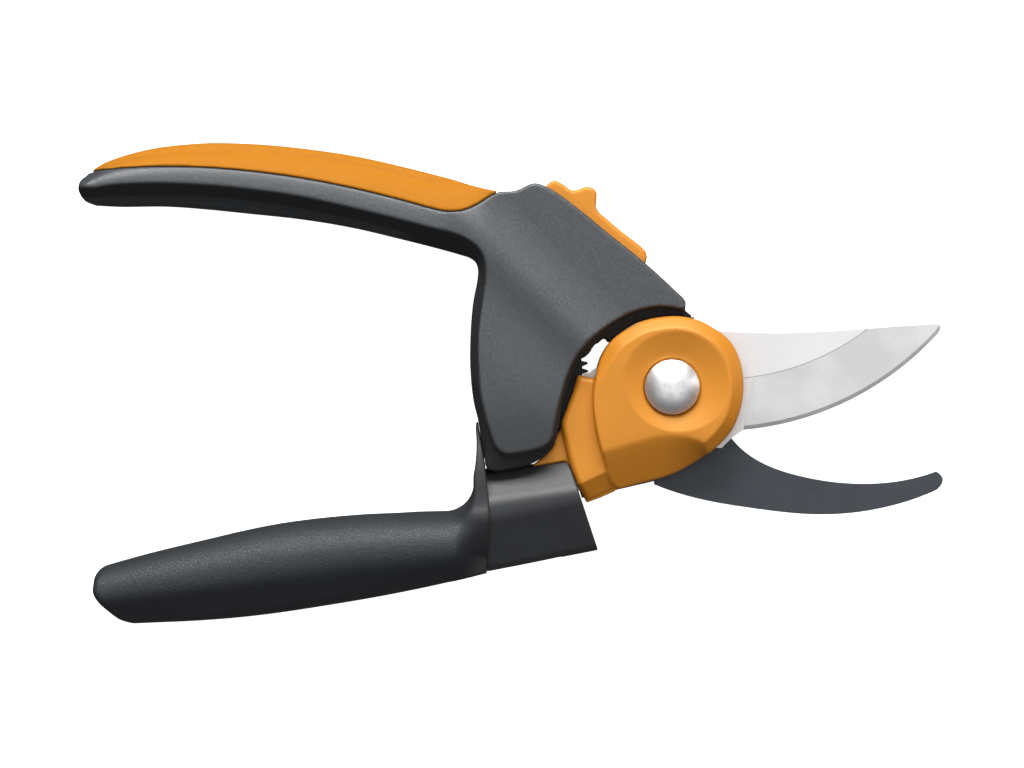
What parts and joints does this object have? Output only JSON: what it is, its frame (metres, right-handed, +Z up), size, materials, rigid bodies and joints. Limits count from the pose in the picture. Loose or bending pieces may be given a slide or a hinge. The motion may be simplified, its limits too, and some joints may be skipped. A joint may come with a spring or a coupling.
{
  "type": "bypass pruner",
  "caption": "Bypass pruner lying flat: curved blade passing a hook, geared sprung upper lever, rolling lower handle, sliding thumb lock and a round orange head over the pivot.",
  "frame": {"origin": "centre of the pivot nut's flat back face, on the blade pivot's axis, at the height the tool lies on", "axes": "+X along the tool towards the blade tip, +Y from the rolling handle towards the lever, +Z up, along the blade pivot"},
  "size_m": [0.2068, 0.1159, 0.0247],
  "materials": {
    "orange_cover": "moulded satin",
    "orange_pad": "soft matte",
    "lever_plastic": "glass-filled, finely grained",
    "soft_grip": "leather-like fine texture",
    "handle_core": "satin",
    "blade_steel": "ground satin",
    "coated_steel": "matte low-friction coating",
    "bright_metal": "polished",
    "plain_steel": "zinc plated",
    "black_steel": "blackened",
    "bearing_plastic": "natural nylon"
  },
  "bodies": {
    "frame": {"hook_plate": "coated_steel", "head_cover_front": "orange_cover", "head_cover_back": "orange_cover", "cover_screws": "plain_steel", "pivot_bolt": "bright_metal", "pivot_washer": "black_steel", "pivot_bush": "plain_steel", "pivot_nut": "bright_metal", "lever_pivot_bush": "plain_steel", "roll_spindle": "plain_steel", "spindle_rivets": "plain_steel"},
    "lever": {"lever_body": "lever_plastic", "lever_grip_pad": "orange_pad", "lever_gear": "black_steel", "gear_rivets": "plain_steel", "lever_pin": "plain_steel", "return_spring": "plain_steel", "lock_detent_spring": "plain_steel"},
    "blade": {"blade": "blade_steel"},
    "lock": {"lock_slider": "orange_cover"},
    "roll_handle": {"roll_core": "handle_core", "roll_grip": "soft_grip", "roll_bush_front": "bearing_plastic", "roll_bush_rear": "bearing_plastic", "retaining_pin": "plain_steel"}
  },
  "joints": [
    {"name": "lever_close", "type": "hinge", "parent": "frame", "child": "lever", "pos_m": [-0.03913, 0.00363, 0.012], "axis": [0, 0, 1], "range_deg": [0, 36], "stiffness_Nm_per_rad": 0.5, "springref_deg": -17.19, "deforming": ["return_spring"]},
    {"name": "blade_swing", "type": "hinge", "parent": "frame", "child": "blade", "pos_m": [0, 0, 0.012], "axis": [0, 0, 1], "range_deg": [-33, 0]},
    {"name": "handle_roll", "type": "hinge", "parent": "frame", "child": "roll_handle", "pos_m": [-0.0233, -0.0218, 0.012], "axis": [0.9483, 0.3173, 0], "range_deg": [-30, 30]},
    {"name": "lock_slide", "type": "slide", "parent": "lever", "child": "lock", "axis": [0.7837, -0.6211, 0], "range_m": [0, 0.008], "deforming": ["lock_detent_spring"]}
  ],
  "couplings": [
    {"joint": "blade_swing", "follows": "lever_close", "ratio": -0.89855}
  ]
}
